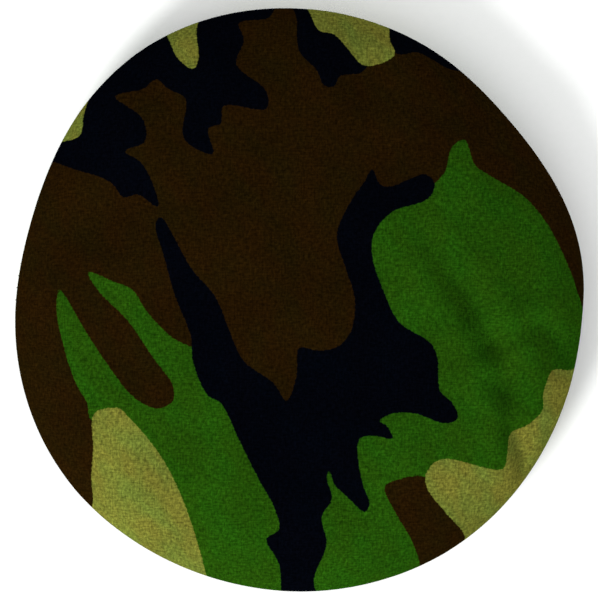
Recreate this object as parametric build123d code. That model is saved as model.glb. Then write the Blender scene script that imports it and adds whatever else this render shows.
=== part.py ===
from build123d import *
from math import atan2, cos, degrees, pi, radians, sin
import os

# Round training bumper: a soft cloth disc for retrieve training, about nine inches across.
# Two twill panels are sewn together round the rim, turned right side out, and filled with
# loose granules that are held in a plain inner bag. Millimetres, +Z up. The origin is the
# centre of the flat patch that the disc rests on.

# Driving dimensions of the filled disc
RIM_RADIUS = 115.0        # average radius at the rim
THICKNESS = 46.0          # from the floor to the crown of the top panel
SEAM_HEIGHT = 18.0        # level of the rim seam above the floor
REST_RADIUS = 62.0        # flat patch under the disc
DOME_POWER = 2.2          # 2 is an ellipse, more is a flatter crown with a fuller shoulder
POLE_FRACTION = 0.12      # the flat middle of a dome, as a fraction of its rim

# A hand-filled disc isn't a true circle: each pair is a direction in degrees, anticlockwise
# from +X, and how far the rim stands out from its average radius there.
RIM_BULGES = (
    (0, -1.2), (20, -1.8), (40, -4.4), (60, -2.0), (90, 1.6), (120, 3.2), (140, 0.4),
    (163, -3.3), (185, -1.0), (215, 2.2), (270, 1.6), (310, 1.3), (340, -1.1),
)

# Outer cover
CLOTH = 0.8               # thickness of the twill
ROLL = 1.0                # radius at which each panel rolls into the rim seam
ALLOWANCE = 8.0           # seam allowance turned inside the rim
SEAM_GAP = 0.1            # between the two layers of a sewn seam

# Inner bag
LINER_CLOTH = 0.4
LINER_ALLOWANCE = 4.0
LINER_INSET = 0.6         # clearance between the cover and the bag
LINER_RIM_GAP = 1.4       # between the cover's raw edge and the bag's raw edge
FILL_INSET = 0.3          # clearance between the bag and its filling

# Sewing threads
COVER_THREAD = 0.25       # thread radius
LINER_THREAD = 0.15
RIM_STITCH = 4.0          # pitch of the rim lockstitch
OVERLOCK_PITCH = 6.0
CLOSING_STITCH = 5.0
LINER_STITCH = 5.0
STITCH_SHARE = 0.8        # share of a lockstitch's pitch that its loop spans
RIM_STITCH_INSET = 1.8    # from the cover's rolled edge to its stitch line
OVERLOCK_BITE = 4.0       # how far the overlock reaches in from the raw edge
CLOSING_MIDDLE = 180      # direction of the hand-closed gap, degrees from +X
CLOSING_SPREAD = 42       # angle that the gap spans, degrees
CLOSING_REACH = 1.6 * ROLL   # how far a ladder stitch reaches in from the groove
CLOSING_HEIGHT = 1.8 * ROLL
CLOSING_INSET = 1.25 * ROLL  # from the rim to a ladder stitch's middle

# Radii that follow from those
COVER_EDGE = RIM_RADIUS - ROLL - ALLOWANCE
LINER_EDGE = COVER_EDGE - LINER_RIM_GAP
LINER_RADIUS = LINER_EDGE - LINER_ALLOWANCE


def bulge(direction):
    """How far the rim stands out at a direction, in between the named ones."""
    ends = list(RIM_BULGES) + [(RIM_BULGES[0][0] + 360, RIM_BULGES[0][1])]
    direction %= 360
    for (low, start), (high, end) in zip(ends, ends[1:]):
        if low <= direction <= high:
            blend = (1 - cos(pi * (direction - low) / (high - low))) / 2
            return start + (end - start) * blend


def rim_point(direction, radius, height):
    """A point on the rim's outline, shrunk so that its average radius is the given one."""
    reach = (RIM_RADIUS + bulge(direction)) * radius / RIM_RADIUS
    angle = radians(direction)
    return (reach * cos(angle), reach * sin(angle), height)


def slice_at(radius, height):
    """The flat face that the rim's outline encloses at one level."""
    points = [rim_point(direction, radius, height) for direction, _ in RIM_BULGES]
    return make_face(Spline(points, periodic=True))


def disc_between(radius, low, high):
    """A flat slab with the rim's outline."""
    return extrude(slice_at(radius, low), high - low, dir=(0, 0, 1))


def dome_levels(rim, level, crown, steps=10):
    """Radius and height along a dome, from its rim to its flat pole."""
    last = pi / 2 - POLE_FRACTION
    rise = (crown - level) / sin(last)
    levels = []
    for step in range(steps + 1):
        angle = last * step / steps
        levels.append((rim * cos(angle) ** (2 / DOME_POWER), level + rise * sin(angle)))
    return levels


def bowl_levels(rim, level, floor, rest, steps=10):
    """Radius and height along the underside, from its rim to the flat resting patch."""
    levels = []
    for step in range(steps + 1):
        angle = pi / 2 * step / steps
        levels.append((rest + (rim - rest) * cos(angle), level + (floor - level) * sin(angle)))
    return levels


def rolled_edge(seam, level, steps=3):
    """The quarter round by which a panel rolls into the rim seam."""
    levels = []
    for step in range(steps + 1):
        angle = pi / 2 * step / steps
        levels.append((RIM_RADIUS - ROLL * (1 - sin(angle)), level + (seam - level) * cos(angle)))
    return levels


def loft_through(levels):
    return loft([slice_at(radius, height) for radius, height in levels])


def panel(side):
    """One twill panel of the cover: side is 1 for the top and -1 for the bottom."""
    seam = SEAM_HEIGHT + side * SEAM_GAP / 2
    level = SEAM_HEIGHT + side * ROLL
    inside = seam + side * CLOTH
    if side > 0:
        outer = dome_levels(RIM_RADIUS, level, THICKNESS)
        inner = dome_levels(RIM_RADIUS - CLOTH, inside, THICKNESS - CLOTH)
    else:
        outer = bowl_levels(RIM_RADIUS, level, 0, REST_RADIUS)
        inner = bowl_levels(RIM_RADIUS - CLOTH, inside, CLOTH, REST_RADIUS)
    skin = loft_through(rolled_edge(seam, level)) + loft_through(outer)
    opening = disc_between(COVER_EDGE, min(seam, inside) - CLOTH / 2, max(seam, inside) + CLOTH / 2)
    return skin - loft_through(inner) - opening


def bag_levels(side, inset):
    """The inner bag's profile, moved inwards by inset: it stops short of the cover's raw edge."""
    rim = LINER_RADIUS - inset
    away = CLOTH + LINER_INSET + inset
    level = SEAM_HEIGHT + side * SEAM_GAP / 2
    if side > 0:
        return dome_levels(rim, level, THICKNESS - away)
    return bowl_levels(rim, level, away, REST_RADIUS)


def liner(side):
    """One panel of the inner bag, with its flat seam allowance outside."""
    seam = SEAM_HEIGHT + side * SEAM_GAP / 2
    inside = seam + side * LINER_CLOTH
    skin = loft_through(bag_levels(side, 0))
    skin += disc_between(LINER_EDGE, min(seam, inside), max(seam, inside))
    hollow = loft_through(bag_levels(side, LINER_CLOTH))
    return skin - hollow


def granules():
    """The loose filling as one bulk solid."""
    inset = LINER_CLOTH + FILL_INSET
    return loft_through(bag_levels(1, inset)) + loft_through(bag_levels(-1, inset)) + disc_between(
        LINER_RADIUS - inset, SEAM_HEIGHT - SEAM_GAP, SEAM_HEIGHT + SEAM_GAP
    )


def thread_loop(length, height, thickness):
    """One closed stitch in the XZ plane: a six-sided thread round a rounded rectangle."""
    path = (Plane.XZ * RectangleRounded(length, height, 2 * thickness)).wire()
    section = Plane(path @ 0, z_dir=path % 0) * RegularPolygon(thickness, 6)
    return sweep(section, path)


def stitches(loop, radius, directions, across=False):
    """Copies of one loop along the rim: in line with it, or across it."""
    row = []
    for direction in directions:
        x, y, z = rim_point(direction, radius, SEAM_HEIGHT)
        before = rim_point(direction - 1, radius, SEAM_HEIGHT)
        after = rim_point(direction + 1, radius, SEAM_HEIGHT)
        turn = degrees(atan2(after[1] - before[1], after[0] - before[0]))
        row.append(Pos(x, y, z) * Rot(0, 0, turn + (90 if across else 0)) * loop)
    return row


def spread(first, last, radius, pitch):
    """Directions from first to last, in degrees, about one pitch apart at the radius."""
    count = round(radians(last - first) * radius / pitch)
    return [first + (last - first) * (index + 0.5) / count for index in range(count)]


def rim_seam_thread():
    """Lockstitches through both seam allowances, all round but for the hand-closed gap."""
    radius = RIM_RADIUS - ROLL - RIM_STITCH_INSET
    height = 2 * CLOTH + SEAM_GAP + 2 * COVER_THREAD
    loop = thread_loop(STITCH_SHARE * RIM_STITCH, height, COVER_THREAD)
    gap_end = CLOSING_MIDDLE + CLOSING_SPREAD / 2
    return stitches(loop, radius, spread(gap_end, gap_end + 360 - CLOSING_SPREAD, radius, RIM_STITCH))


def edge_overlock_thread():
    """Overcast stitches that wrap the raw inner edge of both seam allowances."""
    height = 2 * CLOTH + SEAM_GAP + 2 * COVER_THREAD
    loop = thread_loop(OVERLOCK_BITE + 2 * COVER_THREAD, height, COVER_THREAD)
    radius = COVER_EDGE + OVERLOCK_BITE / 2 - COVER_THREAD
    return stitches(loop, radius, spread(0, 360, radius, OVERLOCK_PITCH), across=True)


def closing_seam_thread():
    """Ladder stitches across the rim's groove, over the hand-closed gap."""
    loop = thread_loop(CLOSING_REACH, CLOSING_HEIGHT, COVER_THREAD)
    radius = RIM_RADIUS - CLOSING_INSET
    first = CLOSING_MIDDLE - CLOSING_SPREAD / 2
    return stitches(loop, radius, spread(first, first + CLOSING_SPREAD, radius, CLOSING_STITCH), across=True)


def liner_seam_thread():
    """Lockstitches all round the inner bag's seam allowance."""
    radius = LINER_RADIUS + LINER_ALLOWANCE / 2
    height = 2 * LINER_CLOTH + SEAM_GAP + 2 * LINER_THREAD
    loop = thread_loop(STITCH_SHARE * LINER_STITCH, height, LINER_THREAD)
    return stitches(loop, radius, spread(0, 360, radius, LINER_STITCH))


def save(node, shape):
    solids = shape if isinstance(shape, list) else [shape]
    export_step(Compound(children=solids), f"parts/{node}.step")


os.makedirs("parts", exist_ok=True)
save("top_panel", panel(1))
save("bottom_panel", panel(-1))
save("rim_seam_thread", rim_seam_thread())
save("edge_overlock_thread", edge_overlock_thread())
save("closing_seam_thread", closing_seam_thread())
save("liner_top", liner(1))
save("liner_bottom", liner(-1))
save("liner_seam_thread", liner_seam_thread())
save("granule_fill", granules())
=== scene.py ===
import math

import bpy
import numpy as np
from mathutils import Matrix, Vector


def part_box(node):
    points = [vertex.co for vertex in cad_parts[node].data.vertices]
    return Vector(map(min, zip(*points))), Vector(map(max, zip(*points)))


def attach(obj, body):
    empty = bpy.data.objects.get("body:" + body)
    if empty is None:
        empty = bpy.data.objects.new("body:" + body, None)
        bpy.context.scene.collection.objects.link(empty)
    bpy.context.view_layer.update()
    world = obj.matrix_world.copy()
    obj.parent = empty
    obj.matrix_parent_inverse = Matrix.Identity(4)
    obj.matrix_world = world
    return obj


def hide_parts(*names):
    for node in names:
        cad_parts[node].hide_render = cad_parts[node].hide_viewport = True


# A round cloth training bumper, filled and sewn from two twill panels. The frame gives every
# size: this script works in millimetres, and build() turns them into Blender's metres.
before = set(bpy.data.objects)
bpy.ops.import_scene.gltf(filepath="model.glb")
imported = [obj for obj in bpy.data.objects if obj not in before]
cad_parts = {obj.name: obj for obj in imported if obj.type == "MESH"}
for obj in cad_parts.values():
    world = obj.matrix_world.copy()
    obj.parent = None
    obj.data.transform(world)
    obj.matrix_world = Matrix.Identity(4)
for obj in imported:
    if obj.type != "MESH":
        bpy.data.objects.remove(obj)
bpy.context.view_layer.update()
MM = 0.001

# Grids: rings run from the middle of a panel to its rim, and spokes run round it.
SPOKES = 480
SKIN_RINGS = 132
INNER_RINGS = 60
HEM_RINGS = 4
ROLL_ANGLES = (0.4, 0.8, 1.2, 1.57)
ROLL_RINGS = len(ROLL_ANGLES)
LINER_SPOKES = 240
LINER_RINGS = 60
FILL_RINGS = (90, 70)     # over the filling, and under it
PROFILE_POINTS = 400      # a dome's or bowl's profile, before it is respaced
SPOKE_TURN = 2 * math.pi / SPOKES

# Cloth thicknesses and hems, as in the design, in millimetres
CLOTH = 0.8
ROLL = 1.0
ALLOWANCE = 8.0
SEAM_HALF_GAP = 0.05      # from the middle of a seam to either of its layers
INNER_INSET = 1.4 * CLOTH  # from the rim to where the cover's inner face starts
LINER_CLOTH = 0.4
LINER_ALLOWANCE = 4.0
LINER_RIM_GAP = 1.4       # between the cover's raw edge and the bag's
DOME_POWER = 2.2
REST_SHARE = 0.54         # the flat resting patch, as a share of the rim

# The inner bag's folds
LINER_FOLDS = 9           # slack folds round its top
FOLD_HEIGHT = 0.5
FOLD_SLACK = 0.4          # added to every fold
HEM_STEP = 0.3            # from the bag's rim to where its allowance starts
HEM_LAP = 1.0             # how far its underside reaches in past the rim

# The filling
FILL_INSET = 0.8          # clearance inside the bag
FILL_SLACK = 1.6          # how far the filling has settled under the top of the bag
GRANULE = 5.0             # pitch of the granules
GRANULE_RELIEF = 0.6      # share of a granule that stands out of the bulk

# The cover's cloth simulation, on a coarser grid
SIM_SPOKES = 144
SIM_RINGS = 26
SIM_FRAMES = 20
SMOOTHING = 16            # passes that smooth its movement on the fine grid
MOVE_CAP = 2.5            # the most that it may move a point, in millimetres
MOVE_GAIN = 0.6           # share of the movement that is used

# Gathers at the rim seam: waves round the rim, over shares of the way from the middle out
GATHER_COUNTS = (34, 47, 61, 78, 96)
GATHER_SEED = 5
GATHER_HEIGHT = 0.55
GATHER_START = 0.86
GATHER_RISE = 0.12
GATHER_END = 0.02
RIM_FADE = 0.05           # the last share of the way out, where lumps and valleys fade away

# Lumps where the filling has settled unevenly: wave length and height, halved when summed
SWELLS = ((70, 0.35), (38, 0.22), (22, 0.10), (13, 0.05))
SWELL_WAVES = 6           # waves of each length
SWELL_SEED = 3

# The filling pushes the cover out unevenly: each valley is a width, and a line of points with a
# depth (x, y, depth), in millimetres.
VALLEYS = (
    (5.5, ((48, 32, 0.0), (52, 22, 0.8), (61, 10, 1.4), (68, 1, 1.7), (78, -18, 2.1),
           (85, -34, 1.8), (87, -53, 1.3), (91, -68, 0.9), (95, -80, 0.2))),
    (4.5, ((46, -32, 0.0), (57, -24, 0.8), (78, -18, 1.6), (90, -12, 1.4), (98, -11, 1.3),
           (108, -24, 0.6))),
    (3.2, ((82, -47, 0.0), (87, -57, 1.2), (91, -67, 1.1), (95, -75, 0.1))),
    (4.0, ((64, -20, 0.0), (72, -30, 0.8), (84, -38, 1.0), (98, -40, 0.4))),
    (9.0, ((-92, -56, 0.2), (-79, -66, 1.1), (-60, -60, 0.6), (-39, -53, 1.1), (-24, -48, 0.0))),
    (8.0, ((-96, 28, 0.2), (-84, 34, 0.7), (-66, 36, 0.0))),
    (8.0, ((10, 96, 0.0), (22, 86, 0.7), (40, 82, 0.0))),
)
VALLEY_GAIN = 1.5         # multiplies every depth
VALLEY_BANK = 0.4         # height of the banks beside a valley, as a share of its depth


# ---------------------------------------------------------------- frame

def panel_points(node):
    """A CAD node's vertices, in millimetres."""
    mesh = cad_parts[node].data
    flat = np.empty(len(mesh.vertices) * 3)
    mesh.vertices.foreach_get("co", flat)
    return flat.reshape(-1, 3) / MM


def read_rim():
    """The rim's directions and radii, from the top panel's widest level."""
    points = panel_points("top_panel")
    points = points[np.abs(points[:, 2] - WIDEST) < 0.1]
    radius = np.hypot(points[:, 0], points[:, 1])
    outer = radius > radius.max() * 0.9
    radius = radius[outer]
    angle = np.arctan2(points[outer, 1], points[outer, 0])
    order = np.argsort(angle)
    return angle[order], radius[order]


def rim_radius(angle):
    """How far the rim is from the middle, in a direction in radians."""
    wrapped = (np.asarray(angle) + math.pi) % (2 * math.pi) - math.pi
    return np.interp(wrapped, RIM_ANGLES, RIM_RADII, period=2 * math.pi)


SEAM = (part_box("top_panel")[0][2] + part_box("bottom_panel")[1][2]) / 2 / MM
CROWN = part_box("top_panel")[1][2] / MM
WIDEST = SEAM + ROLL
RIM_ANGLES, RIM_RADII = read_rim()
RIM = float(np.mean(rim_radius(np.arange(SPOKES) * SPOKE_TURN)))
REST = REST_SHARE * RIM


# ---------------------------------------------------------------- shapes

def evenly(profile, count):
    """A profile's points, respaced so that they are the same distance apart."""
    steps = np.hypot(*np.diff(profile, axis=0).T)
    along = np.concatenate([[0], np.cumsum(steps)])
    wanted = np.linspace(0, along[-1], count)
    return np.stack([np.interp(wanted, along, column) for column in profile.T], axis=1)


def dome(rim, level, crown):
    """Radius and height from the crown down to the rim."""
    angle = np.linspace(math.pi / 2, 0, PROFILE_POINTS)
    radius = rim * np.cos(angle) ** (2 / DOME_POWER)
    return np.stack([radius, level + (crown - level) * np.sin(angle)], axis=1)


def bowl(rim, level, floor):
    """Radius and height from the middle of the resting patch out to the rim."""
    angle = np.linspace(math.pi / 2, 0, PROFILE_POINTS)
    radius = REST + (rim - REST) * np.cos(angle)
    side = np.stack([radius, level + (floor - level) * np.sin(angle)], axis=1)
    return np.concatenate([[[0, floor]], side])


def skin_profile(side):
    """A cover panel's profile from its middle to its widest level: side is 1 above, -1 below."""
    if side > 0:
        return dome(RIM, WIDEST, CROWN)
    return bowl(RIM, SEAM - ROLL, 0)


def rings(profile, spokes):
    """The profile turned round, and pulled in and out with the rim: (ring, spoke, xyz)."""
    angle = np.arange(spokes) * 2 * math.pi / spokes
    reach = profile[:, :1] * (rim_radius(angle) / RIM)[None, :]
    height = np.repeat(profile[:, 1:], spokes, axis=1)
    return np.stack([reach * np.cos(angle), reach * np.sin(angle), height], axis=2)


def build(name, grid):
    """A closed mesh from a grid of rings: its first ring and its last one become single points."""
    count, spokes, _ = grid.shape
    first, last = grid[0].mean(axis=0), grid[-1].mean(axis=0)
    points = np.concatenate([first[None, :], grid[1:-1].reshape(-1, 3), last[None, :]]) * MM
    faces = [(0, 1 + s, 1 + (s + 1) % spokes) for s in range(spokes)]
    for ring in range(count - 3):
        low, high = 1 + ring * spokes, 1 + (ring + 1) * spokes
        faces += [
            (low + s, high + s, high + (s + 1) % spokes, low + (s + 1) % spokes)
            for s in range(spokes)
        ]
    low, end = 1 + (count - 3) * spokes, len(points) - 1
    faces += [(low + s, end, low + (s + 1) % spokes) for s in range(spokes)]
    mesh = bpy.data.meshes.new(name)
    mesh.from_pydata(points.tolist(), [], faces)
    mesh.update()
    mesh.shade_smooth()
    piece = bpy.data.objects.new(name, mesh)
    bpy.context.scene.collection.objects.link(piece)
    return piece


def normals(grid):
    """Unit normals of a grid: they point out of a dome, and into a bowl."""
    along = np.gradient(grid, axis=0)
    around = np.roll(grid, -1, axis=1) - np.roll(grid, 1, axis=1)
    across = np.cross(along, around)
    length = np.linalg.norm(across, axis=2, keepdims=True)
    return across / np.maximum(length, 1e-9)


# ---------------------------------------------------------------- soft shape

def simulate_cover():
    """Cloth simulation of the filled cover: how far each point of a coarse grid moves."""
    top = rings(evenly(skin_profile(1), SIM_RINGS), SIM_SPOKES)
    bottom = rings(evenly(skin_profile(-1), SIM_RINGS), SIM_SPOKES)
    top[-1, :, 2] = SEAM
    whole = np.concatenate([top, bottom[-2::-1]])
    piece = build("cover_simulation", whole)
    start = np.empty(len(piece.data.vertices) * 3)
    piece.data.vertices.foreach_get("co", start)
    start = start.reshape(-1, 3)
    pinned = piece.vertex_groups.new(name="sewn")
    rim = range(1 + (SIM_RINGS - 2) * SIM_SPOKES, 1 + (SIM_RINGS - 1) * SIM_SPOKES)
    resting = np.nonzero(start[:, 2] < 0.5 * MM)[0].tolist()
    pinned.add(list(rim) + resting, 1.0, "REPLACE")
    cloth = piece.modifiers.new("cloth", "CLOTH")
    settings = cloth.settings
    settings.quality = 6
    settings.mass = 0.15
    settings.tension_stiffness = 25
    settings.compression_stiffness = 25
    settings.shear_stiffness = 12
    settings.bending_stiffness = 0.6
    settings.use_pressure = True
    settings.uniform_pressure_force = 4
    settings.shrink_min = -0.035
    settings.vertex_group_mass = "sewn"
    settings.effector_weights.gravity = 0
    cloth.point_cache.frame_start = 1
    cloth.point_cache.frame_end = SIM_FRAMES
    for number in range(1, SIM_FRAMES + 1):
        bpy.context.scene.frame_set(number)
    moved = piece.evaluated_get(bpy.context.evaluated_depsgraph_get()).to_mesh()
    end = np.empty(len(moved.vertices) * 3)
    moved.vertices.foreach_get("co", end)
    shift = (end.reshape(-1, 3) - start) / MM
    bpy.data.objects.remove(piece)
    bpy.context.scene.frame_set(1)
    return shift


def panel_shift(shift, side):
    """One panel's part of the simulated movement, on its fine grid, capped and smoothed.

    Each ring's average is taken off, so that the cloth gathers but the print doesn't drift."""
    body = shift[1:-1].reshape(2 * SIM_RINGS - 3, SIM_SPOKES, 3)
    middle = np.broadcast_to(shift[0 if side > 0 else -1], (1, SIM_SPOKES, 3))
    part = np.concatenate([middle, body[:SIM_RINGS - 1] if side > 0 else body[:SIM_RINGS - 3:-1]])
    angle = np.arange(SIM_SPOKES) * 2 * math.pi / SIM_SPOKES
    outward = part[:, :, 0] * np.cos(angle) + part[:, :, 1] * np.sin(angle)
    sideways = part[:, :, 1] * np.cos(angle) - part[:, :, 0] * np.sin(angle)
    part = np.stack([outward, sideways, part[:, :, 2]], axis=2)
    part = np.clip(part - part.mean(axis=1, keepdims=True), -MOVE_CAP, MOVE_CAP)
    ring = np.linspace(0, SIM_RINGS - 1, SKIN_RINGS)
    spoke = np.arange(SPOKES) * SIM_SPOKES / SPOKES
    low, near = np.floor(ring).astype(int), np.floor(spoke).astype(int)
    high = np.minimum(low + 1, SIM_RINGS - 1)
    far = (near + 1) % SIM_SPOKES
    up = (ring - low)[:, None, None]
    on = (spoke - near)[None, :, None]
    fine = (part[low][:, near] * (1 - up) + part[high][:, near] * up) * (1 - on)
    fine += (part[low][:, far] * (1 - up) + part[high][:, far] * up) * on
    for _ in range(SMOOTHING):
        fine = (np.roll(fine, 1, axis=1) + 2 * fine + np.roll(fine, -1, axis=1)) / 4
        inner = (fine[:-2] + 2 * fine[1:-1] + fine[2:]) / 4
        fine = np.concatenate([fine[:1], inner, fine[-1:]])
    angle = np.arange(SPOKES) * SPOKE_TURN
    x = fine[:, :, 0] * np.cos(angle) - fine[:, :, 1] * np.sin(angle)
    y = fine[:, :, 0] * np.sin(angle) + fine[:, :, 1] * np.cos(angle)
    return np.stack([x, y, fine[:, :, 2]], axis=2)


def valley_depth(x, y):
    """How deep the soft valleys are at points of the top panel."""
    depth = np.zeros_like(x)
    for width, line in VALLEYS:
        best = np.full_like(x, 1e9)
        deep = np.zeros_like(x)
        for (ax, ay, ad), (bx, by, bd) in zip(line, line[1:]):
            dx, dy = bx - ax, by - ay
            share = np.clip(((x - ax) * dx + (y - ay) * dy) / (dx * dx + dy * dy), 0, 1)
            gap = np.hypot(x - ax - share * dx, y - ay - share * dy)
            nearer = gap < best
            best = np.where(nearer, gap, best)
            deep = np.where(nearer, ad + (bd - ad) * share, deep)
        bed = np.exp(-(best / width) ** 2)
        bank = np.exp(-((best - 2 * width) / width) ** 2)
        depth += VALLEY_GAIN * deep * (bed - VALLEY_BANK * bank)
    return depth


def swell(x, y, seed):
    """Height of the gentle lumps at points of the top panel."""
    draw = np.random.default_rng(seed)
    height = np.zeros_like(x)
    for length, size in SWELLS:
        for _ in range(SWELL_WAVES):
            turn, phase = draw.uniform(0, 2 * math.pi, 2)
            along = x * math.cos(turn) + y * math.sin(turn)
            height += size * np.sin(along * 2 * math.pi / length + phase)
    return height / 2


def gathers(grid, seed):
    """Height of the short radial gathers near the rim seam."""
    draw = np.random.default_rng(seed)
    angle = np.arange(grid.shape[1]) * 2 * math.pi / grid.shape[1]
    wave = np.zeros_like(angle)
    for count in GATHER_COUNTS:
        wave += np.sin(count * angle + draw.uniform(0, 2 * math.pi)) / len(GATHER_COUNTS)
    reach = np.linspace(0, 1, grid.shape[0])[:, None]
    rise = np.clip((reach - GATHER_START) / GATHER_RISE, 0, 1)
    return GATHER_HEIGHT * wave[None, :] * rise * np.clip((1 - reach) / GATHER_END, 0, 1)


def cover_grid(side, shift):
    """A cover panel as one closed sheet: outer skin, rolled edge, seam allowance, inner skin."""
    skin = rings(evenly(skin_profile(side), SKIN_RINGS), SPOKES)
    out = normals(skin) * side
    out[0] = (0, 0, side)
    lift = gathers(skin, GATHER_SEED + side)
    if side > 0:
        x, y = skin[:, :, 0], skin[:, :, 1]
        lift = lift + swell(x, y, SWELL_SEED) - valley_depth(x, y)
        lift = lift * np.clip((1 - np.linspace(0, 1, SKIN_RINGS)) / RIM_FADE, 0, 1)[:, None]
    else:
        lift = lift * (skin[:, :, 2] > 0.5)
    if shift is not None:
        skin = skin + panel_shift(shift, side) * MOVE_GAIN
    skin = skin + out * lift[:, :, None]
    if side < 0:
        skin[:, :, 2] = np.maximum(skin[:, :, 2], 0)
    level = SEAM + side * ROLL
    seam = SEAM + side * SEAM_HALF_GAP
    rise = seam - level
    roll = [(RIM - ROLL * (1 - math.cos(a)), level + rise * math.sin(a)) for a in ROLL_ANGLES]
    edge = RIM - ROLL - ALLOWANCE
    hem = [(edge + ALLOWANCE * (1 - n / HEM_RINGS), seam) for n in range(1, HEM_RINGS + 1)]
    turn = seam + side * CLOTH
    back = [(edge, turn), (edge + ALLOWANCE / 2, turn), (RIM - INNER_INSET, turn)]
    hidden = rings(np.array(roll + hem + back), SPOKES)
    kept = np.linspace(SKIN_RINGS - 1, 0, INNER_RINGS).astype(int)[1:]
    inner = skin[kept] - out[kept] * CLOTH
    return np.concatenate([skin, hidden, inner])


# ---------------------------------------------------------------- print

# The print's patches, as seen from above, in millimetres from the middle. A smooth curve runs
# through each patch's points, and a patch that reaches the rim runs on past it.
TAN = (
    ((-54, 112), (-51, 102), (-48, 96), (-42, 92), (-40, 96), (-41, 106), (-42, 116)),
    ((-84, 80), (-86, 72), (-87, 66), (-91, 64), (-99, 65), (-95, 86)),
    ((4, 122), (6, 110), (8, 107), (14, 105), (20, 99), (25, 94), (31, 94), (38, 98), (36, 104),
     (35, 116)),
    ((-82, -47), (-80, -44), (-71, -43), (-68, -46), (-60, -55), (-50, -70), (-43, -88),
     (-38, -106), (-39, -120), (-64, -110), (-86, -92), (-82, -80), (-83, -70), (-82, -58)),
    ((50, -70), (53, -65), (58, -63), (68, -65), (75, -67), (81, -67), (83, -60), (85, -54),
     (91, -50), (97, -43), (97, -36), (100, -28), (107, -28), (118, -29), (112, -62), (92, -88),
     (70, -103), (65, -92), (57, -83), (51, -75)),
)
BLACK = (
    ((-103, 58), (-97, 55), (-89, 52), (-79, 49), (-74, 46), (-70, 41), (-64, 42), (-56, 37),
     (-58, 46), (-63, 55), (-69, 59), (-61, 63), (-62, 72), (-73, 81), (-62, 84), (-57, 88),
     (-52, 84), (-45, 80), (-46, 65), (-41, 60), (-34, 58), (-36, 68), (-31, 70), (-30, 77),
     (-13, 76), (-13, 83), (-25, 94), (-22, 104), (-24, 111), (-12, 113), (-11, 123), (-50, 119),
     (-88, 98)),
    ((-3, 122), (-1, 112), (0, 99), (7, 91), (10, 85), (14, 85), (16, 89), (25, 91), (28, 96),
     (18, 106), (9, 122)),
    ((34, 114), (36, 100), (40, 98), (48, 99), (59, 93), (66, 92), (68, 104), (50, 116)),
    ((29, 52), (26, 47), (21, 40), (15, 26), (18, 14), (22, 1), (21, -11), (16, -18), (8, -20),
     (0, -19), (-1, -30), (-5, -40), (-10, -33), (-22, -24), (-28, -11), (-33, 1), (-43, 13),
     (-49, 24), (-55, 33), (-57, 30), (-54, 19), (-49, 1), (-43, -14), (-42, -25), (-36, -38),
     (-31, -41), (-24, -55), (-16, -71), (-10, -82), (-8, -91), (-13, -95), (-8, -105),
     (-5, -124), (7, -124), (6, -111), (11, -97), (9, -86), (13, -79), (11, -70), (12, -68),
     (14, -73), (20, -79), (26, -84), (28, -81), (25, -72), (24, -55), (31, -54), (37, -55),
     (35, -50), (32, -48), (37, -45), (46, -45), (58, -49), (63, -47), (61, -41), (56, -36),
     (55, -23), (52, -17), (40, -9), (35, 0), (29, 18), (30, 27), (37, 35), (51, 40), (54, 46),
     (50, 50), (44, 48), (36, 45), (32, 46)),
)
GREEN = (
    ((66, 64), (61, 61), (58, 51), (52, 45), (34, 38), (24, 24), (30, -5), (20, -30), (-4, -50),
     (-24, -34), (-38, -20), (-44, -18), (-50, -15), (-60, -5), (-66, 4), (-73, 7), (-84, 11),
     (-79, 3), (-68, -8), (-57, -24), (-50, -34), (-50, -40), (-56, -43), (-65, -39), (-77, -24),
     (-86, -10), (-95, 4), (-96, -5), (-93, -20), (-88, -34), (-84, -41), (-83, -47), (-70, -60),
     (-60, -90), (-48, -118), (0, -128), (45, -118), (80, -70), (118, -40), (122, -12),
     (113, -2), (110, 8), (105, 20), (99, 31), (90, 41), (75, 50), (70, 54), (68, 60)),
)
BROWN = (
    ((34, -74), (40, -71), (50, -70), (60, -80), (72, -94), (64, -110), (50, -118), (48, -105),
     (44, -94), (38, -84)),
)
FAR = 6.0                 # beyond this distance, in millimetres, how far a patch is doesn't matter
UNDERSIDE_TURN = 130      # how far the print is turned on the bottom panel, in degrees


def cloth_reach(angle, radius):
    """Distance along the top panel from its middle, for a distance seen from above."""
    profile = skin_profile(1)
    along = np.concatenate([[0], np.cumsum(np.hypot(*np.diff(profile, axis=0).T))])
    share = radius / rim_radius(angle)
    inside = np.interp(share * RIM, profile[:, 0], along)
    return (inside + np.maximum(share - 1, 0) * RIM) * rim_radius(angle) / RIM


def onto_cloth(x, y):
    """Points seen from above, laid out flat on the cloth."""
    angle = np.arctan2(y, x)
    reach = cloth_reach(angle, np.hypot(x, y))
    return reach * np.cos(angle), reach * np.sin(angle)


def smooth_outline(points, steps=6):
    """A closed curve through the points (centripetal, so that sharp tips don't loop)."""
    points = np.array(points, float)
    share = np.linspace(0, 1, steps, endpoint=False)[:, None]
    curve = []
    for index in range(len(points)):
        a, b, c, d = (points[(index + offset) % len(points)] for offset in (-1, 0, 1, 2))
        t1 = max(np.linalg.norm(b - a), 1e-6) ** 0.5
        t2 = t1 + max(np.linalg.norm(c - b), 1e-6) ** 0.5
        t3 = t2 + max(np.linalg.norm(d - c), 1e-6) ** 0.5
        t = t1 + (t2 - t1) * share
        ab = a + (b - a) * t / t1
        bc = b + (c - b) * (t - t1) / (t2 - t1)
        cd = c + (d - c) * (t - t2) / (t3 - t2)
        abc = ab + (bc - ab) * t / t2
        bcd = bc + (cd - bc) * (t - t1) / (t3 - t1)
        curve.append(abc + (bcd - abc) * (t - t1) / (t2 - t1))
    return np.concatenate(curve)


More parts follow.
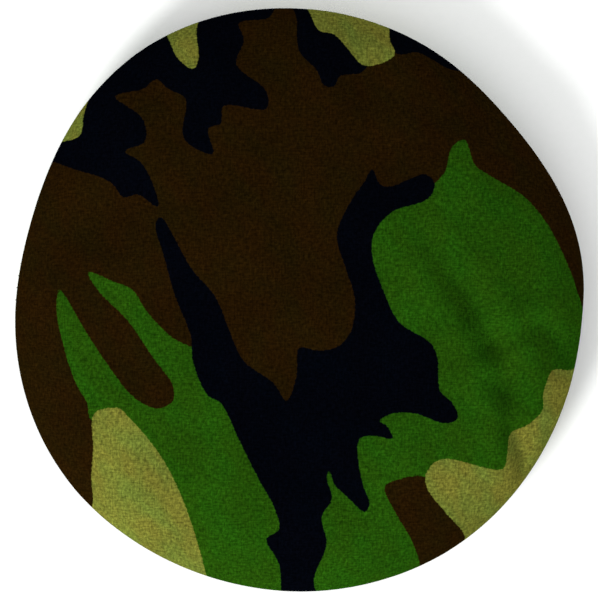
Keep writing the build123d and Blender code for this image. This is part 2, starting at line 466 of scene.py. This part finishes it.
def depth_inside(x, y, outline):
    """How far points are inside a closed outline: negative outside, and never beyond FAR."""
    result = np.full(x.shape, -FAR)
    low, high = outline.min(axis=0) - FAR, outline.max(axis=0) + FAR
    near = np.nonzero((x > low[0]) & (x < high[0]) & (y > low[1]) & (y < high[1]))[0]
    px, py = x[near], y[near]
    gap = np.full(len(near), FAR ** 2)
    crossings = np.zeros(len(near), int)
    for (ax, ay), (bx, by) in zip(outline, np.roll(outline, -1, axis=0)):
        dx, dy = bx - ax, by - ay
        share = np.clip(((px - ax) * dx + (py - ay) * dy) / (dx * dx + dy * dy + 1e-12), 0, 1)
        gap = np.minimum(gap, (px - ax - share * dx) ** 2 + (py - ay - share * dy) ** 2)
        spans = (ay > py) != (by > py)
        crossings += spans & (px < ax + (py - ay) * dx / (dy if abs(dy) > 1e-12 else 1e-12))
    result[near] = np.sqrt(gap) * np.where(crossings % 2 == 1, 1, -1)
    return result


def cloth_places(side, ring_count):
    """Where each point of a cover panel lies on the flat cloth, in build()'s order."""
    profile = skin_profile(side)
    length = np.hypot(*np.diff(profile, axis=0).T).sum()
    turned_in = np.cumsum([ROLL / 2] * ROLL_RINGS + [ALLOWANCE / HEM_RINGS] * HEM_RINGS)
    back = np.linspace(length + turned_in[-1], 0, ring_count - SKIN_RINGS - len(turned_in))
    reach = np.concatenate([np.linspace(0, length, SKIN_RINGS), length + turned_in, back])
    angle = np.arange(SPOKES) * SPOKE_TURN
    reach = reach[1:-1, None] * (rim_radius(angle) / RIM)[None, :]
    x, y = (reach * np.cos(angle)).ravel(), (reach * np.sin(angle)).ravel()
    return np.concatenate([[0], x, [0]]), np.concatenate([[0], y, [0]])


def paint_print(piece, side, ring_count):
    """Stores, at each point of a panel, its place on the cloth and its depth in each ink."""
    mesh = piece.data
    x, y = cloth_places(side, ring_count)
    if side < 0:
        turn = math.radians(UNDERSIDE_TURN)
        x, y = x * math.cos(turn) - y * math.sin(turn), x * math.sin(turn) + y * math.cos(turn)
        x = -x
    place = mesh.attributes.new("cloth_place", "FLOAT_VECTOR", "POINT")
    flat = np.stack([x, y, np.zeros_like(x)], axis=1)
    place.data.foreach_set("vector", flat.astype(np.float32).ravel())
    for ink, patches in (("tan", TAN), ("black", BLACK), ("green", GREEN), ("brown", BROWN)):
        depth = np.full(len(x), -FAR)
        for patch in patches:
            outline = smooth_outline(np.stack(onto_cloth(*np.array(patch, float).T), axis=1))
            depth = np.maximum(depth, depth_inside(x, y, outline))
        stored = mesh.attributes.new(ink, "FLOAT", "POINT")
        stored.data.foreach_set("value", depth.astype(np.float32))


# ---------------------------------------------------------------- materials

class Shader:
    """A short way to write node graphs: each call adds one node and returns its output."""

    def __init__(self, name):
        self.material = bpy.data.materials.new(name)
        self.material.use_nodes = True
        self.tree = self.material.node_tree
        self.surface = self.tree.nodes["Principled BSDF"]

    def node(self, kind, inputs=None, output=0, **settings):
        made = self.tree.nodes.new(kind)
        for key, value in settings.items():
            setattr(made, key, value)
        for key, value in (inputs or {}).items():
            if isinstance(value, bpy.types.NodeSocket):
                self.tree.links.new(value, made.inputs[key])
            else:
                made.inputs[key].default_value = value
        return made.outputs[output]

    def attribute(self, name, output="Fac"):
        return self.node("ShaderNodeAttribute", output=output, attribute_name=name)

    def math(self, operation, first, second=0.0, third=0.0):
        return self.node("ShaderNodeMath", {0: first, 1: second, 2: third}, operation=operation)

    def noise(self, place, scale, detail=2.0):
        inputs = {"Vector": place, "Scale": scale, "Detail": detail}
        return self.node("ShaderNodeTexNoise", inputs)

    def stretch(self, place, turn, scale):
        """The place turned by degrees, then scaled: long streaks come from uneven scales."""
        rotation = (0, 0, math.radians(turn))
        turned = self.node("ShaderNodeMapping", {"Vector": place, "Rotation": rotation})
        return self.node("ShaderNodeMapping", {"Vector": turned, "Scale": scale})

    def between(self, value, low, high, to_low=0.0, to_high=1.0, kind="LINEAR"):
        inputs = {"Value": value, "From Min": low, "From Max": high}
        inputs.update({"To Min": to_low, "To Max": to_high})
        return self.node("ShaderNodeMapRange", inputs, interpolation_type=kind)

    def mix(self, share, first, second):
        return self.node("ShaderNodeMix", {0: share, 6: first, 7: second}, output=2, data_type="RGBA")

    def times(self, colour, value):
        inputs = {0: 1.0, 6: colour, 7: value}
        return self.node("ShaderNodeMix", inputs, output=2, data_type="RGBA", blend_type="MULTIPLY")

    def finish(self, colour, roughness, height=None, distance=0.1, strength=1.0, specular=0.1):
        links = self.tree.links
        links.new(colour, self.surface.inputs["Base Color"])
        if isinstance(roughness, bpy.types.NodeSocket):
            links.new(roughness, self.surface.inputs["Roughness"])
        else:
            self.surface.inputs["Roughness"].default_value = roughness
        self.surface.inputs["Specular IOR Level"].default_value = specular
        if height is not None:
            inputs = {"Height": height, "Distance": distance * MM, "Strength": strength}
            links.new(self.node("ShaderNodeBump", inputs), self.surface.inputs["Normal"])
        return self.material


def srgb(red, green, blue):
    """A colour as a screen shows it, turned into the linear one that a shader needs."""
    linear = [((v / 255 + 0.055) / 1.055) ** 2.4 if v > 10 else v / 255 / 12.92 for v in (red, green, blue)]
    return (*linear, 1.0)


INKS = {
    "ground": srgb(26, 16, 2.5),
    "green": srgb(27, 64, 6),
    "tan": srgb(92, 98, 37),
    "black": srgb(2, 3, 7),
}
WARM_TINT = (1.10, 0.95, 0.9, 1)
COOL_TINT = (0.92, 1.04, 1.0, 1)
WALE = 0.8                # pitch of the twill's diagonal ribs


def twill():
    """Printed cotton twill: inks with slightly soft edges, heathered yarns and diagonal ribs."""
    s = Shader("camouflage_twill")
    place = s.attribute("cloth_place", "Vector")
    creep = s.math("SUBTRACT", s.noise(place, 0.9, 3.0), 0.5)
    colour = INKS["ground"]
    for ink, dye in (("green", "green"), ("brown", "ground"), ("black", "black"), ("tan", "tan")):
        depth = s.math("MULTIPLY_ADD", creep, 1.1, s.attribute(ink))
        colour = s.mix(s.between(depth, -0.22, 0.22, kind="SMOOTHSTEP"), colour, INKS[dye])
    warp = s.noise(s.stretch(place, 0, (1.7, 0.32, 1)), 1.0, 3.0)
    weft = s.noise(s.stretch(place, 0, (0.32, 1.7, 1)), 1.0, 3.0)
    yarns = s.math("ADD", warp, weft)
    colour = s.times(colour, s.between(yarns, 0.75, 1.25, 0.66, 1.34))
    flecks = s.noise(place, 0.85, 1.5)
    colour = s.times(colour, s.between(flecks, 0.32, 0.68, 0.72, 1.28))
    slubs = s.noise(s.stretch(place, 28, (2.6, 0.09, 1)), 1.0, 1.0)
    colour = s.times(colour, s.between(slubs, 0.6, 0.75, 1.0, 1.35))
    tint = s.between(s.noise(s.stretch(place, 60, (0.05, 0.09, 1)), 1.0, 2.0), 0.38, 0.66)
    colour = s.mix(tint, s.times(colour, WARM_TINT), s.times(colour, COOL_TINT))
    fading = s.noise(place, 0.035, 3.0)
    colour = s.times(colour, s.between(fading, 0.3, 0.7, 0.88, 1.12))
    pitch = math.pi / (10 * WALE) * 2
    ribs = s.node(
        "ShaderNodeTexWave",
        {"Vector": s.stretch(place, 45, (1, 1, 1)), "Scale": pitch, "Distortion": 0.6},
        output=1, wave_type="BANDS", bands_direction="X", wave_profile="SIN",
    )
    colour = s.times(colour, s.between(ribs, 0.0, 1.0, 0.86, 1.1))
    height = s.math("MULTIPLY_ADD", yarns, 0.5, ribs)
    return s.finish(colour, s.between(yarns, 0.7, 1.3, 0.97, 0.85), height, 0.12, 0.7, specular=0.0)


def plain_weave(name, colour, pitch):
    """Undyed lining: a plain over-and-under weave with slubs."""
    s = Shader(name)
    place = s.node("ShaderNodeTexCoord", output=3)
    thread = math.pi / (10 * pitch * MM)
    inputs = {"Vector": place, "Scale": thread}
    across = s.node("ShaderNodeTexWave", inputs, output=1, bands_direction="X")
    along = s.node("ShaderNodeTexWave", inputs, output=1, bands_direction="Y")
    weave = s.math("MULTIPLY", across, along)
    slubs = s.noise(s.stretch(place, 0, (900, 120, 900)), 1.0, 3.0)
    shade = s.math("MULTIPLY_ADD", weave, 0.3, s.between(slubs, 0.3, 0.7, 0.75, 1.0))
    return s.finish(s.times(colour, shade), 0.9, weave, 0.15, 0.6)


def sewing_thread(name, colour):
    """Twisted thread: fine slanted plies with a slight lustre."""
    s = Shader(name)
    place = s.node("ShaderNodeTexCoord", output=3)
    plies = s.node(
        "ShaderNodeTexWave",
        {"Vector": s.stretch(place, 35, (1, 1, 1)), "Scale": 700.0, "Distortion": 1.5},
        output=1, bands_direction="DIAGONAL",
    )
    fuzz = s.noise(place, 1800.0, 2.0)
    shade = s.math("MULTIPLY_ADD", plies, 0.35, s.between(fuzz, 0.3, 0.7, 0.6, 0.95))
    return s.finish(s.times(colour, shade), 0.6, plies, 0.08, 0.8, specular=0.3)


def crumb():
    """Loose foam granules: each cell of the filling has its own shade."""
    s = Shader("foam_granules")
    place = s.node("ShaderNodeTexCoord", output=3)
    cells = s.node("ShaderNodeTexVoronoi", {"Vector": place, "Scale": 220.0}, output=1)
    grey = s.node("ShaderNodeRGBToBW", {0: cells})
    colour = s.mix(grey, srgb(150, 132, 104), srgb(206, 190, 160))
    pores = s.noise(place, 2500.0, 3.0)
    colour = s.times(colour, s.between(pores, 0.3, 0.7, 0.85, 1.05))
    return s.finish(colour, 0.85, pores, 0.2, 0.5)


def floor_paper():
    """A pale studio ground with a barely visible grain."""
    s = Shader("studio_ground")
    place = s.node("ShaderNodeTexCoord", output=3)
    grain = s.noise(place, 400.0, 3.0)
    colour = s.mix(grain, (0.93, 0.945, 0.93, 1), (0.96, 0.97, 0.96, 1))
    return s.finish(colour, 0.95, specular=0.0)


# ---------------------------------------------------------------- pieces

def make_cover(side, shift, material):
    """One printed panel of the cover, in place of the CAD's."""
    names = {1: ("top_panel_cloth", "top_panel"), -1: ("bottom_panel_cloth", "bottom_panel")}
    name, node = names[side]
    grid = cover_grid(side, shift)
    piece = build(name, grid)
    if side > 0:
        piece.data.flip_normals()
    paint_print(piece, side, len(grid))
    piece.data.materials.append(material)
    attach(piece, "root")
    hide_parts(node)


def bag_profile(side, inset):
    """The inner bag's profile inside the cover, from its middle to its own rim."""
    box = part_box("liner_top" if side > 0 else "liner_bottom")
    rim = RIM - ROLL - ALLOWANCE - LINER_RIM_GAP - LINER_ALLOWANCE - inset
    if side > 0:
        return dome(rim, SEAM + SEAM_HALF_GAP, box[1][2] / MM - inset)
    return bowl(rim, SEAM - SEAM_HALF_GAP, box[0][2] / MM + inset)


def sink(grid, slack):
    """Lowers a grid of the top's inside by its slack, and under the cover's valleys."""
    grid[:, :, 2] -= slack + np.maximum(valley_depth(grid[:, :, 0], grid[:, :, 1]), 0)


def make_liner(side, material):
    """One panel of the inner bag: a thin, slightly slack sheet with its flat allowance."""
    names = {1: "liner_top", -1: "liner_bottom"}
    seam = SEAM + side * SEAM_HALF_GAP
    outer = rings(evenly(bag_profile(side, 0), LINER_RINGS), LINER_SPOKES)
    inner = rings(evenly(bag_profile(side, LINER_CLOTH), LINER_RINGS), LINER_SPOKES)
    if side > 0:
        wave = np.sin(LINER_FOLDS * np.arctan2(outer[:, :, 1], outer[:, :, 0]))
        folds = FOLD_HEIGHT * (1 + wave) + FOLD_SLACK
        slack = folds * np.sin(math.pi * np.linspace(0, 1, LINER_RINGS)[:, None]) ** 2
        sink(outer, slack)
        sink(inner, slack)
    rim = bag_profile(side, 0)[-1, 0]
    edge = rim + LINER_ALLOWANCE
    face = seam + side * LINER_CLOTH
    fold = [(rim + HEM_STEP, face), (edge, face), (edge, seam), (rim - HEM_LAP, seam)]
    hem = rings(np.array(fold), LINER_SPOKES)
    piece = build(names[side] + "_cloth", np.concatenate([outer[:-1], hem, inner[::-1][1:]]))
    if side > 0:
        piece.data.flip_normals()
    piece.data.materials.append(material)
    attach(piece, "root")
    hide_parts(names[side])


def pebbles(points, pitch):
    """Height of the nearest granule at each point, from one ball near each point of a lattice."""
    cell = np.floor(points / pitch)
    best = np.full(len(points), 1e9)
    for offset in np.ndindex(3, 3, 3):
        corner = cell + np.array(offset) - 1
        seed = corner @ np.array([12.9898, 78.233, 37.719])
        draws = [np.modf(np.abs(np.sin(seed + k) * 43758.5453))[0] for k in range(3)]
        jitter = np.stack(draws, axis=1)
        best = np.minimum(best, np.linalg.norm(points / pitch - corner - jitter, axis=1))
    return pitch * (np.sqrt(np.maximum(0.75 - best ** 2, 0)) - math.sqrt(0.75))


def make_granules(material):
    """The loose filling: its bulk, with a pebbled face of granules."""
    upper_rings, lower_rings = FILL_RINGS
    upper = rings(evenly(bag_profile(1, FILL_INSET), upper_rings), LINER_SPOKES)
    lower = rings(evenly(bag_profile(-1, FILL_INSET), lower_rings), LINER_SPOKES)
    sink(upper, FILL_SLACK * np.sin(math.pi * np.linspace(0, 1, upper_rings)[:, None]) ** 2)
    grid = np.concatenate([upper, lower[-2::-1]])
    bump = pebbles(grid.reshape(-1, 3), GRANULE).reshape(grid.shape[:2])
    outward = grid - np.array([0, 0, SEAM])
    outward /= np.maximum(np.linalg.norm(outward, axis=2, keepdims=True), 1e-6)
    relief = outward * bump[:, :, None] * GRANULE_RELIEF
    piece = build("granule_fill_crumb", grid + relief)
    piece.data.flip_normals()
    piece.data.materials.append(material)
    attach(piece, "root")
    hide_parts("granule_fill")


def dress(node, material):
    """Gives a CAD node that stays its own finish."""
    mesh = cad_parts[node].data
    mesh.materials.clear()
    mesh.materials.append(material)
    mesh.shade_smooth()


# ---------------------------------------------------------------- stage

CAMERA_LENS = 400.0       # a long lens, straight above
CAMERA_SENSOR = 36.0
VIEW_HEIGHT = 240.0       # what the picture's height spans at the rim, in millimetres
FLOOR_HALF = 6.0          # metres, as are the floor's drop and the lamp's place and size
FLOOR_DROP = 0.0004       # keeps the floor clear of the resting patch
KEY_PLACE = (-1.2, -1.6, 1.4)
KEY_SIZE = 0.8
KEY_POWER = 54
SKY_STRENGTH = 0.98


def light(name, place, size, power):
    """A round soft lamp that points at the bumper."""
    data = bpy.data.lights.new(name, "AREA")
    data.shape = "DISK"
    data.size = size
    data.energy = power
    lamp = bpy.data.objects.new(name, data)
    lamp.location = place
    lamp.rotation_euler = (-lamp.location).to_track_quat("-Z", "Y").to_euler()
    bpy.context.scene.collection.objects.link(lamp)


def make_stage():
    """A pale floor, one soft key lamp and a white sky."""
    mesh = bpy.data.meshes.new("studio_floor")
    turns = ((-1, -1), (1, -1), (1, 1), (-1, 1))
    corners = [(x * FLOOR_HALF, y * FLOOR_HALF, -FLOOR_DROP) for x, y in turns]
    mesh.from_pydata(corners, [], [(0, 1, 2, 3)])
    mesh.materials.append(floor_paper())
    floor = bpy.data.objects.new("studio_floor", mesh)
    bpy.context.scene.collection.objects.link(floor)
    light("key_light", KEY_PLACE, KEY_SIZE, KEY_POWER)
    world = bpy.data.worlds.new("studio")
    world.use_nodes = True
    background = world.node_tree.nodes["Background"]
    background.inputs["Color"].default_value = (1, 1, 1, 1)
    background.inputs["Strength"].default_value = SKY_STRENGTH
    bpy.context.scene.world = world


def make_camera():
    """A camera straight above the bumper's middle."""
    data = bpy.data.cameras.new("camera")
    data.lens = CAMERA_LENS
    data.sensor_width = CAMERA_SENSOR
    data.clip_end = 20
    camera = bpy.data.objects.new("camera", data)
    camera.location = (0, 0, (WIDEST + VIEW_HEIGHT * CAMERA_LENS / CAMERA_SENSOR) * MM)
    bpy.context.scene.collection.objects.link(camera)
    bpy.context.scene.camera = camera


# ---------------------------------------------------------------- the bumper

movement = simulate_cover()
cover_cloth = twill()
make_cover(1, movement, cover_cloth)
make_cover(-1, movement, cover_cloth)
liner_cloth = plain_weave("liner_weave", srgb(206, 199, 178), 0.6)
make_liner(1, liner_cloth)
make_liner(-1, liner_cloth)
make_granules(crumb())
dark_thread = sewing_thread("cover_thread", srgb(46, 52, 34))
for thread_node in ("rim_seam_thread", "edge_overlock_thread", "closing_seam_thread"):
    dress(thread_node, dark_thread)
dress("liner_seam_thread", sewing_thread("liner_thread", srgb(222, 216, 198)))
make_stage()
make_camera()
bpy.context.scene.view_settings.view_transform = "Standard"
